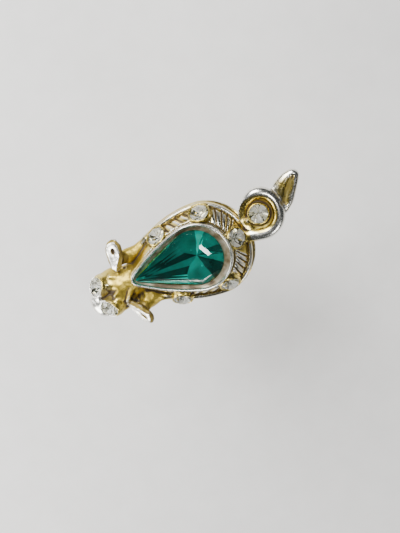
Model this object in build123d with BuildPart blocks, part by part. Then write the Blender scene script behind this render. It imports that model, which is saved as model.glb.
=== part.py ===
from build123d import *
import math
import os

# A tie tack. A cast mouse, set with a pear stone and round stones, carries a
# pointed post, and a ball-lock clutch holds the post behind the tie.
#
# Millimetres. The origin is the middle of the pad's face, where the post
# starts. +Z is the front of the tack, +X runs from the head to the tail,
# +Y is the mouse's right side.

# --- driving dimensions ------------------------------------------------------

# body of the casting
BODY_X = 2.2
BODY_HALF_WIDTH = 5.3
BODY_REAR_REACH = 4.95
FLANK_R = 13.1
NECK_X = -5.9
FOOT_HEIGHT = 0.35
BORDER_STEP = 0.06
BORDER_REAR_REACH = 4.72
BORDER_WIDTH = 0.5
BORDER_HEIGHT = 1.2
BORDER_GROOVE = 0.12
SKIRT_TOP = 2.45
BACK_WALL = 0.95
BACK_DEPTH = 1.0
BACK_CUT = 60

# outlines with a round end, a narrow end and bowed sides:
# x and radius of the round end, x and radius of the narrow end, radius of the sides
STONE_OUTLINE = (0.85, 3.05, -5.93, 0.22, 34.0)
COLLAR_OUTLINE = (1.15, 3.79, -5.85, 0.85, 24.0)

# pear stone and its collar
PEAR_GIRDLE_Z = 2.7
PEAR_GIRDLE_THICKNESS = 0.14
PEAR_CROWN = 0.9
PEAR_PAVILION = 2.1
PEAR_TABLE = [
    (-4.9, 0),
    (-0.9, 1.45),
    (0.5, 1.93),
    (1.93, 1.28),
    (2.62, 0),
    (1.93, -1.28),
    (0.5, -1.93),
    (-0.9, -1.45),
]
PEAR_SEAT_GAP = 0.04
REAR_CORNERS = 16
FLANK_CORNERS = 4
COLLAR_TOP = 3.3
COLLAR_LIP = 0.3
COLLAR_LIP_CHAMFER = 0.08
SEAT_GAP = 0.02
SEAT_CLEARANCE = 3

# round stones
ROUND_R = 1.0
ROUND_TABLE_R = 0.58
ROUND_CROWN = 0.36
ROUND_GIRDLE = 0.06
ROUND_PAVILION = 0.85
CUP_R = 1.25
CUP_FOOT_R = 1.45
CUP_LIP = 0.16
CUP_LIP_CHAMFER = 0.08
CUP_RIM = 0.3
CUP_DEPTH = 1.7

# each round stone: middle of its girdle, then the azimuth and tilt of its face
STONE_PLACES = {
    "right_front_rhinestone": ((-2.5, 3.62, 1.95), 105, 50),
    "left_front_rhinestone": ((-2.5, -4.08, 1.95), -105, 50),
    "right_rear_rhinestone": ((2.9, 4.35, 2.0), 82, 50),
    "left_rear_rhinestone": ((3.1, -4.25, 2.0), -82, 50),
    "rear_rhinestone": ((5.75, 0.35, 2.15), 3, 40),
    "tail_rhinestone": ((8.8, 1.9, 1.75), 10, 8),
    "right_eye_rhinestone": ((-10.93, 0.6, 2.1), 141, 43),
    "left_eye_rhinestone": ((-10.35, -2.13, 2.5), -150, 36),
}

# neck and head: places on the head are along the nose, to the right and up
HEAD_MIDDLE = (-8.6, -0.5, 1.5)
HEAD_YAW = 8.4
HEAD_ROLL = 11.5
NECK_R = 2.55
JAW_R = 2.0
NECK_HEIGHT = 2.35
NECK_TAPER = 9
SKULL_PLACE = (0.4, 0, -0.55)
SKULL_R = 2.3
SNOUT_PLACE = (2.3, -0.1, -0.65)
SNOUT_R = 1.45

# the web behind the left ear: x, y and radius of its corners
WEB = [(-4.6, -2.7, 0.6), (-6.35, -3.3, 0.55), (-7.2, -2.2, 0.8)]
WEB_HEIGHT = 1.7

# each ear: foot, tip, then the azimuth and tilt that its hollow faces
EARS = [
    ((-8.3, 1.3, 1.9), (-6.9, 4.8, 2.65), 175, 26),
    ((-8.25, -1.95, 2.3), (-6.15, -4.75, 3.4), 214, 50),
]
EAR_R = 0.95
EAR_OVERRUN = 0.1
EAR_CUP_R = 0.72
EAR_CUP_LIFT = 0.55
EAR_CUP_SHARE = 0.56
EAR_CUP_MARGIN = 0.3

# tail
TAIL_STONE_X, TAIL_STONE_Y = 8.8, 1.9
TAIL_Z = 1.1
TAIL_CUP_R = 1.45
TAIL_CUP_FOOT = 0.5
TAIL_CUP_HEIGHT = 1.3

# the curl of the tail round its stone: angle, distance of its middle, tube radius
TAIL_CURL = [
    (-146, 3.4, 0.70),
    (-134, 2.72, 0.75),
    (-113, 2.25, 0.75),
    (-80, 2.05, 0.75),
    (-40, 2.0, 0.75),
    (0, 1.92, 0.74),
    (40, 2.06, 0.70),
    (75, 2.05, 0.62),
    (105, 1.88, 0.54),
    (135, 1.76, 0.46),
    (165, 1.80, 0.42),
]

# the tail tip that lies under the curl: x, y, half width, half thickness
TAIL_TIP = [
    (11.1, 1.4, 0.70, 0.45),
    (11.75, 2.6, 1.13, 0.58),
    (12.48, 3.47, 1.0, 0.58),
    (13.22, 4.12, 0.8, 0.52),
    (13.98, 4.66, 0.38, 0.34),
]
TAIL_TIP_AZIMUTH = 41.0
TAIL_TIP_Z = 0.85

# rods on the skirt: where each starts at the border, the azimuth that it runs
# along, its length and its rise, for the right side; the left side mirrors them
FLUTE_R = 0.16
FLUTES = [
    (4.2, 4.18, -93, 1.35, 1.1),
    (4.72, 3.85, -99, 1.35, 1.1),
    (5.17, 3.45, -105, 1.35, 1.1),
    (5.5, 2.95, -110, 1.35, 1.1),
    (5.75, 2.35, -116, 1.2, 1.0),
    (-1.44, 4.3, -28, 1.05, 0.75),
    (-0.57, 4.45, -28, 1.05, 0.75),
    (0.3, 4.58, -28, 1.05, 0.75),
    (1.15, 4.68, -28, 0.9, 0.65),
]

# back: pad and post
PAD_R = 2.0
PAD_THICKNESS = 0.4
BOSS_R = 2.35
POST_SPIGOT_R = 0.45
POST_SHOULDER_R = 0.8
POST_R = 0.575
POST_POINT = 1.2
POST_TIP_R = 0.06
POST_LENGTH = 7.3
FABRIC_GAP = 2.1

# clutch, measured down from the shoulder of the post
CLUTCH_GAP = 0.02
CLUTCH_TOP = -FABRIC_GAP - CLUTCH_GAP
FLANGE_R = 4.4
FLANGE_THICKNESS = 0.45
FLANGE_FILLET = 0.15
CLUTCH_HOLE_R = 0.72
BARREL_R = 3.2
BARREL_WALL = 0.35
CONE_HEIGHT = 1.9
CONE_HALF_ANGLE = 10.0
BALL_R = 0.45
BALL_AZIMUTHS = (0, 120, 240)
BALL_CIRCLE_R = 1.04
BALL_DROP = 1.4
BALL_GAP = 0.01
POCKET_GAP = 0.02
CAGE_BORE_R = 0.72
CAGE_TUBE_R = 1.2
CAGE_HEAD_GAP = 0.08
CAGE_FLANGE_R = 2.3
CAGE_FLANGE_THICKNESS = 0.4
CAGE_FLANGE_GAP = 0.12
STEM_R = 1.4
SPRING_WIRE_R = 0.1
SPRING_R = 2.0
SPRING_TURNS = 3
SPRING_SPACE = 1.65
SPRING_END_GAP = 0.02
PLATE_THICKNESS = 0.4
PLATE_BORE_R = 1.5
CRIMP_THICKNESS = 0.3
CRIMP_R = 2.5
CAP_GAP = 0.1
CAP_WALL = 0.4
CAP_SLEEVE = 2.9
CAP_FLOOR_GAP = 0.9
KNURLS = 32
KNURL_R = 0.12
KNURL_MARGIN = 0.35
CAP_FILLET = 0.3

CONE_TOP = CLUTCH_TOP - FLANGE_THICKNESS
CONE_FOOT = CONE_TOP - CONE_HEIGHT
BALL_Z = CLUTCH_TOP - BALL_DROP
CAGE_TOP = CONE_TOP - CAGE_HEAD_GAP
CAGE_FLANGE_TOP = CONE_FOOT - CAGE_FLANGE_GAP
SPRING_TOP = CAGE_FLANGE_TOP - CAGE_FLANGE_THICKNESS
SPRING_FOOT = SPRING_TOP - SPRING_SPACE
PLATE_FOOT = SPRING_FOOT - PLATE_THICKNESS
BARREL_FOOT = PLATE_FOOT - CRIMP_THICKNESS
CAP_FLOOR = BARREL_FOOT - CAP_FLOOR_GAP
CAP_FOOT = CAP_FLOOR - CAP_WALL
CAP_TOP = CAP_FLOOR + CAP_SLEEVE


# --- shared shapes -----------------------------------------------------------

def head_direction(forward, right, up):
    """A direction given along the nose, to the right and up."""
    yaw = math.radians(HEAD_YAW)
    roll = math.radians(HEAD_ROLL)
    level = right * math.cos(roll) + up * math.sin(roll)
    x = -forward * math.cos(yaw) - level * math.sin(yaw)
    y = -forward * math.sin(yaw) + level * math.cos(yaw)
    return (x, y, up * math.cos(roll) - right * math.sin(roll))


def on_head(forward, right, up):
    """A place given from the middle of the head."""
    return tuple(m + d for m, d in zip(HEAD_MIDDLE, head_direction(forward, right, up)))


def outward(azimuth, tilt):
    """Direction tilted from +Z towards an azimuth, both in degrees."""
    a = math.radians(azimuth)
    t = math.radians(tilt)
    return (math.sin(t) * math.cos(a), math.sin(t) * math.sin(a), math.cos(t))


def body_profile(reach, inset, height):
    """Outline of the body at a height, drawn inside by inset, with its rear reach."""
    half_width = BODY_HALF_WIDTH - inset
    flank_r = FLANK_R - inset
    flank_y = BODY_HALF_WIDTH - FLANK_R
    turn = math.degrees(math.asin((BODY_X - NECK_X) / flank_r))
    with BuildSketch(Plane.XY.offset(height)) as profile:
        with BuildLine():
            EllipticalCenterArc(
                (BODY_X, 0), reach - inset, half_width, start_angle=-90, arc_size=180
            )
            right = CenterArc((BODY_X, flank_y), flank_r, 90, turn)
            left = CenterArc((BODY_X, -flank_y), flank_r, -90, -turn)
            Line(right @ 1, left @ 1)
        make_face()
    return profile.sketch


def flank_middle(outline):
    """Middle of the arc that makes the right side of a pear outline."""
    rear_x, rear_r, tip_x, tip_r, side_r = outline
    span = rear_x - tip_x
    along = ((side_r - tip_r) ** 2 - (side_r - rear_r) ** 2 - span**2) / (2 * span)
    return (rear_x + along, -math.sqrt((side_r - rear_r) ** 2 - along**2))


def touch_angles(outline):
    """Angles round the flank's middle where its arc meets the two ends."""
    rear_x, _, tip_x, _, _ = outline
    x, y = flank_middle(outline)
    at_rear = math.degrees(math.atan2(-y, rear_x - x))
    at_tip = math.degrees(math.atan2(-y, tip_x - x))
    return at_rear, at_tip


def pear_profile(outline, grow, height):
    """A pear outline at a height, grown all round."""
    rear_x, rear_r, tip_x, tip_r, side_r = outline
    x, y = flank_middle(outline)
    at_rear, at_tip = touch_angles(outline)
    with BuildSketch(Plane.XY.offset(height)) as profile:
        with BuildLine():
            CenterArc((rear_x, 0), rear_r + grow, -at_rear, 2 * at_rear)
            CenterArc((x, y), side_r + grow, at_rear, at_tip - at_rear)
            CenterArc((tip_x, 0), tip_r + grow, at_tip, 360 - 2 * at_tip)
            CenterArc((x, -y), side_r + grow, -at_tip, at_tip - at_rear)
        make_face()
    return profile.sketch


def between(start, end, share):
    """The place a share of the way from start to end."""
    return tuple(s + share * (e - s) for s, e in zip(start, end))


def ellipsoid(middle, axis, half_length, radius):
    """A solid of revolution with an elliptical outline, along an axis."""
    side = Vector(*axis).cross(Vector(0, 0, 1))
    with BuildPart() as body:
        with BuildSketch(Plane(middle, x_dir=axis, z_dir=side)) as outline:
            with BuildLine():
                arc = EllipticalCenterArc(
                    (0, 0), half_length, radius, start_angle=0, arc_size=180
                )
                Line(arc @ 1, arc @ 0)
            make_face()
        revolve(outline.sketch, axis=Axis(middle, axis))
    return body.part


def ring(radius, height, count, turn=0.0):
    """Corners of a regular polygon at a height."""
    step = 2 * math.pi / count
    return [
        (radius * math.cos(turn + i * step), radius * math.sin(turn + i * step), height)
        for i in range(count)
    ]


def pear_corners(gap):
    """Corners of the pear stone, grown by a gap for its seat."""
    rear_x, rear_r, tip_x, tip_r, side_r = STONE_OUTLINE
    x, y = flank_middle(STONE_OUTLINE)
    at_rear, at_tip = touch_angles(STONE_OUTLINE)
    girdle_top = PEAR_GIRDLE_Z + PEAR_GIRDLE_THICKNESS
    girdle = [(tip_x - tip_r - gap, 0.0)]
    for i in range(REAR_CORNERS + 1):
        angle = math.radians(-at_rear + 2 * at_rear * i / REAR_CORNERS)
        reach = rear_r + gap
        girdle.append((rear_x + reach * math.cos(angle), reach * math.sin(angle)))
    for i in range(1, FLANK_CORNERS + 1):
        angle = math.radians(at_rear + (at_tip - at_rear) * i / FLANK_CORNERS)
        place = (x + (side_r + gap) * math.cos(angle), y + (side_r + gap) * math.sin(angle))
        girdle.append(place)
        girdle.append((place[0], -place[1]))
    corners = [(px, py, PEAR_GIRDLE_Z) for px, py in girdle]
    corners += [(px, py, girdle_top) for px, py in girdle]
    corners += [(px, py, girdle_top + PEAR_CROWN + gap) for px, py in PEAR_TABLE]
    corners.append((rear_x, 0.0, PEAR_GIRDLE_Z - PEAR_PAVILION - gap))
    return corners


def round_corners(gap):
    """Corners of a round stone about the middle of its girdle, grown by a gap."""
    return [
        *ring(ROUND_TABLE_R, ROUND_CROWN, 8, math.radians(22.5)),
        *ring(ROUND_R + gap, 0.0, 16),
        *ring(ROUND_R + gap, -ROUND_GIRDLE, 16),
        (0.0, 0.0, -ROUND_PAVILION - 2 * gap),
    ]


ROUND_STONES = {
    name: Plane(place, z_dir=outward(azimuth, tilt))
    for name, (place, azimuth, tilt) in STONE_PLACES.items()
}


# --- casting -----------------------------------------------------------------

def cupped_ear(foot, tip, azimuth, tilt):
    """An ear: a petal that stands up and back, hollowed on its front."""
    axis = Vector(*tip) - Vector(*foot)
    front = Vector(*outward(azimuth, tilt))
    front = (front - axis * (front.dot(axis) / axis.dot(axis))).normalized()
    middle = Vector(*between(foot, tip, 0.5))
    cup_middle = Vector(*between(foot, tip, EAR_CUP_SHARE)) + front * EAR_CUP_LIFT
    with BuildPart() as ear:
        add(ellipsoid(middle, axis, axis.length / 2 + EAR_OVERRUN, EAR_R))
        add(
            ellipsoid(cup_middle, axis, axis.length / 2 - EAR_CUP_MARGIN, EAR_CUP_R),
            mode=Mode.SUBTRACT,
        )
    return ear.part


def tail_curl():
    """The tube of the tail, curled round the tail stone."""
    sections = []
    for angle, distance, radius in TAIL_CURL:
        a = math.radians(angle)
        place = (
            TAIL_STONE_X + distance * math.cos(a),
            TAIL_STONE_Y + distance * math.sin(a),
            TAIL_Z,
        )
        along = (-math.sin(a), math.cos(a), 0)
        with BuildSketch(Plane(place, x_dir=(0, 0, 1), z_dir=along)) as section:
            Circle(radius)
        sections.append(section.sketch)
    with BuildPart() as curl:
        loft(sections=sections)
    return curl.part


def tail_tip():
    """The end of the tail, a flattened horn that comes out from under the curl."""
    along = outward(TAIL_TIP_AZIMUTH, 90)
    sections = []
    for x, y, half_width, half_thickness in TAIL_TIP:
        plane = Plane((x, y, TAIL_TIP_Z), x_dir=(0, 0, 1), z_dir=along)
        with BuildSketch(plane) as section:
            Ellipse(half_thickness, half_width)
        sections.append(section.sketch)
    with BuildPart() as horn:
        loft(sections=sections)
    return horn.part


def flute(x, y, azimuth, length, rise, side):
    """A rod lying on the skirt, from the border up towards the collar."""
    a = math.radians(side * azimuth)
    start = (x, side * y, BORDER_HEIGHT - FLUTE_R)
    along = (length * math.cos(a), length * math.sin(a), rise)
    with BuildPart() as rod:
        with BuildSketch(Plane(start, z_dir=along)) as section:
            Circle(FLUTE_R)
        extrude(section.sketch, amount=Vector(*along).length)
    return rod.part


def stone_cup():
    """The outside of a round stone's cup, about the middle of its girdle."""
    with BuildPart() as cup:
        with BuildSketch(Plane.XZ) as section:
            with BuildLine():
                Polyline(
                    (0, -CUP_DEPTH),
                    (CUP_FOOT_R, -CUP_DEPTH),
                    (CUP_R, CUP_LIP - CUP_RIM),
                    (CUP_R - CUP_LIP_CHAMFER, CUP_LIP),
                    (0, CUP_LIP),
                    close=True,
                )
            make_face()
        revolve(section.sketch, axis=Axis.Z)
    return cup.part


ears = [cupped_ear(*ear) for ear in EARS]
flutes = [flute(*place, side) for side in (1, -1) for place in FLUTES]
curl = tail_curl()
horn = tail_tip()
cup = stone_cup()

with BuildPart() as mouse_casting:
    # skirt: an upright border, then a slope up to the collar's seat
    extrude(body_profile(BODY_REAR_REACH, 0, 0), amount=FOOT_HEIGHT)
    extrude(body_profile(BORDER_REAR_REACH, BORDER_STEP, 0), amount=BORDER_HEIGHT)
    groove = body_profile(BORDER_REAR_REACH, BORDER_WIDTH, BORDER_HEIGHT - BORDER_GROOVE)
    extrude(groove, amount=BORDER_GROOVE, mode=Mode.SUBTRACT)
    loft(sections=[groove, pear_profile(COLLAR_OUTLINE, 0, SKIRT_TOP)], ruled=True)
    add(flutes)

    # neck and head
    with BuildSketch(Plane.XY) as neck:
        with Locations((NECK_X, 0)):
            Circle(NECK_R)
        with Locations((HEAD_MIDDLE[0], HEAD_MIDDLE[1])):
            Circle(JAW_R)
        make_hull()
    extrude(neck.sketch, amount=NECK_HEIGHT, taper=NECK_TAPER)
    with BuildSketch(Plane.XY) as web:
        for x, y, radius in WEB:
            with Locations((x, y)):
                Circle(radius)
        make_hull()
    extrude(web.sketch, amount=WEB_HEIGHT)
    with Locations(on_head(*SKULL_PLACE)):
        Sphere(SKULL_R)
    with Locations(on_head(*SNOUT_PLACE)):
        Sphere(SNOUT_R)
    add(ears)

    # tail
    add(curl)
    add(horn)
    with BuildSketch(Plane.XY.offset(TAIL_CUP_FOOT)) as tail_cup:
        with Locations((TAIL_STONE_X, TAIL_STONE_Y)):
            Circle(TAIL_CUP_R)
    extrude(tail_cup.sketch, amount=TAIL_CUP_HEIGHT)

    # cups of the round stones
    for plane in ROUND_STONES.values():
        with Locations(plane):
            add(cup)

    # everything stops at the back plane
    with BuildSketch(Plane.XY) as below:
        Rectangle(BACK_CUT, BACK_CUT)
    extrude(below.sketch, amount=-BACK_CUT, mode=Mode.SUBTRACT)

    # hollow back, with a boss left in the middle for the pad
    back = body_profile(BORDER_REAR_REACH, BACK_WALL, 0)
    extrude(back, amount=BACK_DEPTH, mode=Mode.SUBTRACT)
    with BuildSketch(Plane.XY.offset(PAD_THICKNESS)) as boss:
        Circle(BOSS_R)
    extrude(boss.sketch, amount=BACK_DEPTH)

    # seats: the flat under the collar, and a pocket for each stone
    seat = pear_profile(COLLAR_OUTLINE, SEAT_GAP, SKIRT_TOP)
    extrude(seat, amount=SEAT_CLEARANCE, mode=Mode.SUBTRACT)
    ConvexPolyhedron(pear_corners(PEAR_SEAT_GAP), mode=Mode.SUBTRACT)
    for plane in ROUND_STONES.values():
        with Locations(plane):
            ConvexPolyhedron(round_corners(SEAT_GAP), mode=Mode.SUBTRACT)
            Cylinder(
                ROUND_R + SEAT_GAP,
                SEAT_CLEARANCE,
                align=(Align.CENTER, Align.CENTER, Align.MIN),
                mode=Mode.SUBTRACT,
            )

mouse_casting.part.label = "mouse_casting"


# --- collar and stones -------------------------------------------------------

with BuildPart() as bezel_collar:
    foot = pear_profile(COLLAR_OUTLINE, 0, SKIRT_TOP)
    extrude(foot, amount=COLLAR_TOP - SKIRT_TOP)
    lip = bezel_collar.faces().sort_by(Axis.Z)[-1]
    chamfer(lip.edges(), COLLAR_LIP_CHAMFER)
    ConvexPolyhedron(pear_corners(PEAR_SEAT_GAP), mode=Mode.SUBTRACT)
    # the inside slopes from the stone up to the lip
    girdle_top = PEAR_GIRDLE_Z + PEAR_GIRDLE_THICKNESS
    at_stone = pear_profile(STONE_OUTLINE, PEAR_SEAT_GAP, girdle_top)
    at_lip = pear_profile(COLLAR_OUTLINE, -COLLAR_LIP, COLLAR_TOP)
    loft(sections=[at_stone, at_lip], ruled=True, mode=Mode.SUBTRACT)

bezel_collar.part.label = "bezel_collar"

with BuildPart() as pear_stone:
    ConvexPolyhedron(pear_corners(0))

pear_stone.part.label = "pear_stone"

round_stones = {}
for name, plane in ROUND_STONES.items():
    with BuildPart() as round_stone:
        with Locations(plane):
            ConvexPolyhedron(round_corners(0))
    round_stone.part.label = name
    round_stones[name] = round_stone.part


# --- pad and post ------------------------------------------------------------

with BuildPart() as post_pad:
    with BuildSketch() as pad_outline:
        Circle(PAD_R)
        Circle(POST_SPIGOT_R, mode=Mode.SUBTRACT)
    extrude(amount=PAD_THICKNESS)

post_pad.part.label = "post_pad"

with BuildPart() as post:
    with BuildSketch(Plane.XZ) as post_section:
        with BuildLine():
            Polyline(
                (0, PAD_THICKNESS),
                (POST_SPIGOT_R, PAD_THICKNESS),
                (POST_SPIGOT_R, 0),
                (POST_SHOULDER_R, 0),
                (POST_SHOULDER_R, -FABRIC_GAP),
                (POST_R, -FABRIC_GAP),
                (POST_R, -POST_LENGTH + POST_POINT),
                (POST_TIP_R, -POST_LENGTH),
                (0, -POST_LENGTH),
                close=True,
            )
        make_face()
    revolve(axis=Axis.Z)

post.part.label = "post"


# --- clutch ------------------------------------------------------------------

with BuildPart() as clutch_shell:
    with BuildSketch(Plane.XZ) as shell_section:
        with BuildLine():
            Polyline(
                (CLUTCH_HOLE_R, CLUTCH_TOP),
                (FLANGE_R, CLUTCH_TOP),
                (FLANGE_R, CONE_TOP),
                (BARREL_R, CONE_TOP),
                (BARREL_R, BARREL_FOOT),
                (CRIMP_R, BARREL_FOOT),
                (CRIMP_R, PLATE_FOOT),
                (BARREL_R - BARREL_WALL, PLATE_FOOT),
                (BARREL_R - BARREL_WALL, CONE_TOP),
                (CLUTCH_HOLE_R, CONE_TOP),
                close=True,
            )
        make_face()
    revolve(axis=Axis.Z)
    circles = clutch_shell.edges().filter_by(GeomType.CIRCLE)
    fillet(circles.filter_by(lambda edge: edge.radius > BARREL_R), FLANGE_FILLET)

clutch_shell.part.label = "clutch_shell"

with BuildPart() as wedge_cone:
    slope = math.tan(math.radians(CONE_HALF_ANGLE))
    touch_r = BALL_CIRCLE_R + BALL_R / math.cos(math.radians(CONE_HALF_ANGLE)) + BALL_GAP
    outer_r = BARREL_R - BARREL_WALL - SEAT_GAP / 2
    with BuildSketch(Plane.XZ) as cone_section:
        with BuildLine():
            Polyline(
                (touch_r - slope * (CONE_TOP - BALL_Z), CONE_TOP),
                (outer_r, CONE_TOP),
                (outer_r, CONE_FOOT),
                (touch_r + slope * (BALL_Z - CONE_FOOT), CONE_FOOT),
                close=True,
            )
        make_face()
    revolve(axis=Axis.Z)

wedge_cone.part.label = "wedge_cone"

with BuildPart() as ball_cage:
    with BuildSketch(Plane.XZ) as cage_section:
        with BuildLine():
            Polyline(
                (CAGE_BORE_R, CAGE_TOP),
                (CAGE_TUBE_R, CAGE_TOP),
                (CAGE_TUBE_R, CAGE_FLANGE_TOP),
                (CAGE_FLANGE_R, CAGE_FLANGE_TOP),
                (CAGE_FLANGE_R, SPRING_TOP),
                (STEM_R, SPRING_TOP),
                (STEM_R, CAP_FLOOR),
                (CAGE_BORE_R, CAP_FLOOR),
                close=True,
            )
        make_face()
    revolve(axis=Axis.Z)
    for azimuth in BALL_AZIMUTHS:
        with BuildSketch(Plane((0, 0, BALL_Z), z_dir=outward(azimuth, 90))) as pocket_outline:
            Circle(BALL_R + POCKET_GAP)
        extrude(pocket_outline.sketch, amount=CAGE_FLANGE_R, mode=Mode.SUBTRACT)

ball_cage.part.label = "ball_cage"

balls = {}
for number, azimuth in enumerate(BALL_AZIMUTHS, 1):
    with BuildPart() as ball:
        with Locations(Vector(*outward(azimuth, 90)) * BALL_CIRCLE_R + Vector(0, 0, BALL_Z)):
            Sphere(BALL_R)
    ball.part.label = f"ball_{number}"
    balls[ball.part.label] = ball.part

with BuildPart() as clutch_spring:
    wire_foot = SPRING_FOOT + SPRING_WIRE_R + SPRING_END_GAP
    coil_height = SPRING_SPACE - 2 * (SPRING_WIRE_R + SPRING_END_GAP)
    with BuildLine() as coil:
        Helix(coil_height / SPRING_TURNS, coil_height, SPRING_R, center=(0, 0, wire_foot))
    with BuildSketch(Plane(coil.line @ 0, z_dir=coil.line % 0)):
        Circle(SPRING_WIRE_R)
    sweep()

clutch_spring.part.label = "clutch_spring"

with BuildPart() as end_plate:
    with BuildSketch(Plane.XY.offset(PLATE_FOOT)):
        Circle(BARREL_R - BARREL_WALL - SEAT_GAP / 2)
        Circle(PLATE_BORE_R, mode=Mode.SUBTRACT)
    extrude(amount=PLATE_THICKNESS)

end_plate.part.label = "end_plate"

with BuildPart() as pull_cap:
    sleeve_r = BARREL_R + CAP_GAP
    with BuildSketch(Plane.XY.offset(CAP_FOOT)):
        Circle(sleeve_r + CAP_WALL)
    extrude(amount=CAP_TOP - CAP_FOOT)
    foot_rim = pull_cap.edges().sort_by(Axis.Z)[0]
    fillet(foot_rim, CAP_FILLET)
    with BuildSketch(Plane.XY.offset(CAP_FLOOR)):
        Circle(sleeve_r)
    extrude(amount=CAP_TOP - CAP_FLOOR, mode=Mode.SUBTRACT)
    with BuildSketch(Plane.XY.offset(CAP_FLOOR + KNURL_MARGIN)):
        with PolarLocations(sleeve_r + CAP_WALL + KNURL_R / 2, KNURLS):
            Circle(KNURL_R)
    extrude(amount=CAP_SLEEVE - 2 * KNURL_MARGIN, mode=Mode.SUBTRACT)

pull_cap.part.label = "pull_cap"


# --- one file for each piece -------------------------------------------------

pieces = [
    mouse_casting.part,
    bezel_collar.part,
    pear_stone.part,
    *round_stones.values(),
    post_pad.part,
    post.part,
    clutch_shell.part,
    wedge_cone.part,
    ball_cage.part,
    *balls.values(),
    clutch_spring.part,
    end_plate.part,
    pull_cap.part,
]

os.makedirs("parts", exist_ok=True)
for piece in pieces:
    export_step(piece, f"parts/{piece.label}.step")
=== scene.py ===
import math

import bmesh
import bpy
import numpy as np
from mathutils import Matrix, Vector


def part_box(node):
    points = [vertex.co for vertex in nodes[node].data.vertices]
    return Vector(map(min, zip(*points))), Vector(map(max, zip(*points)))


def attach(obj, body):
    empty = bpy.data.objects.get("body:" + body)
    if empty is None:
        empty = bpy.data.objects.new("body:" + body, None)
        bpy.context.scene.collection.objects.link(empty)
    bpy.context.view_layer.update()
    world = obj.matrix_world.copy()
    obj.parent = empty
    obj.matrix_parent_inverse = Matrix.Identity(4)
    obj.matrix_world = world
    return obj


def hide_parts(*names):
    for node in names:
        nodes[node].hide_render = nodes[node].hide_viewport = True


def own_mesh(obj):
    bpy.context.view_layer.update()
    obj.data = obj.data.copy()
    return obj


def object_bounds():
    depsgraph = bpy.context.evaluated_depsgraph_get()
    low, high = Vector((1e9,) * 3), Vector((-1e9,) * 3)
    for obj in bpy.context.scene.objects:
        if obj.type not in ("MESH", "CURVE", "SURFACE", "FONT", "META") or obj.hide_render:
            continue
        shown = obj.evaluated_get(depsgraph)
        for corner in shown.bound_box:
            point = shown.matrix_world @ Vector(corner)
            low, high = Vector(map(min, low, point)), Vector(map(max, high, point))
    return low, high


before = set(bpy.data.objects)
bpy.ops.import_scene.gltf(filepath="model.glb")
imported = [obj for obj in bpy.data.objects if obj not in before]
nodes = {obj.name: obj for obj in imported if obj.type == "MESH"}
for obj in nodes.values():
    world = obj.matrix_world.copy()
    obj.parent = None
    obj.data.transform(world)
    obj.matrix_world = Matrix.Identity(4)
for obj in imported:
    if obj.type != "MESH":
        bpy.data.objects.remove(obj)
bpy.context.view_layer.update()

# Lengths in this script are millimetres up to the moment a mesh is made, when
# MM turns them into the frame's metres. The origin is where the post leaves its
# pad, +X is towards the tail, +Y is the mouse's right, +Z is the front of the tack.
MM = 0.001
VOXEL = 0.07

# --- sizes of the cast mouse, as in the CAD ---

BODY_X = 2.2
BODY_HALF_WIDTH = 5.3
FLANK_R = 13.1
FOOT_REACH = 4.95
FOOT_HEIGHT = 0.35
BORDER_REACH = 4.72
BORDER_STEP = 0.06
BORDER_WIDTH = 0.5
BORDER_Z = 0.95
BEAD_R = 0.25
SKIRT_LOW = 0.98
SKIRT_TOP = 2.45
SKIRT_CREST = SKIRT_TOP + 0.1
SKIRT_BOW = 1.35
SEAM_DEPTH = 0.22
BACK_WALL = 0.95
BACK_DEPTH = 1.0
BOSS_R = 2.35
BOSS_Z = 0.4

# outlines with a round end, a narrow end and bowed sides:
# x and radius of the round end, x and radius of the narrow end, radius of the sides
STONE_OUTLINE = (0.85, 3.05, -5.93, 0.22, 34.0)
COLLAR_OUTLINE = (1.15, 3.79, -5.85, 0.85, 24.0)
GIRDLE_Z = 2.7
GIRDLE_THICKNESS = 0.14
CROWN = 0.9
PAVILION = 2.1
# the corners of the table, from the tip's end round the right side, and mirrored back
SHOULDER_X = -0.9
PEAR_TABLE = [(-4.9, 0), (SHOULDER_X, 1.45), (0.5, 1.93), (1.93, 1.28), (2.62, 0)]
PEAR_TABLE += [(x, -y) for x, y in PEAR_TABLE[3:0:-1]]
STAR_SLOPE = 0.5
STAR_INSET = 0.2
SEAT_ROOM = 0.03

ROUND_R = 1.0
ROUND_TABLE_R = 0.58
ROUND_CROWN = 0.36
ROUND_PAVILION = 0.85
# the crown's facets end this far above the girdle, and those at the corners are steeper
PEAR_FACET_FOOT = 0.04
ROUND_FACET_FOOT = 0.03
CORNER_FOOT = 0.02
PEAR_CORNER_STEEPER = math.radians(5)
ROUND_CORNER_STEEPER = math.radians(7)
# the cup round each round stone: its radius, the place of its middle under the girdle,
# half its height, and how far out its shape is worked out
CUP_R = 1.2
CUP_LOW = 0.7
CUP_HALF_HEIGHT = 0.8
CUP_REACH = 2.2
POCKET_ROOM = 0.04
POCKET_LOW = 0.08
TAIL_STONE = (8.8, 1.9, 1.75)

HEAD_MIDDLE = np.array([-8.6, -0.5, 1.5])
HEAD_YAW = math.radians(8.4)
HEAD_ROLL = math.radians(11.5)


def head_direction(forward, right, up):
    """A direction given along the nose, to the right and up."""
    aside = right * math.cos(HEAD_ROLL) + up * math.sin(HEAD_ROLL)
    x = -forward * math.cos(HEAD_YAW) - aside * math.sin(HEAD_YAW)
    y = -forward * math.sin(HEAD_YAW) + aside * math.cos(HEAD_YAW)
    return np.array([x, y, up * math.cos(HEAD_ROLL) - right * math.sin(HEAD_ROLL)])


def on_head(forward, right, up):
    return HEAD_MIDDLE + head_direction(forward, right, up)


def outward(azimuth, tilt):
    """Direction tilted from +Z towards an azimuth, both in degrees."""
    a, t = math.radians(azimuth), math.radians(tilt)
    return np.array([math.sin(t) * math.cos(a), math.sin(t) * math.sin(a), math.cos(t)])


HEAD_AXES = [head_direction(*axis) for axis in np.eye(3)]

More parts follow.
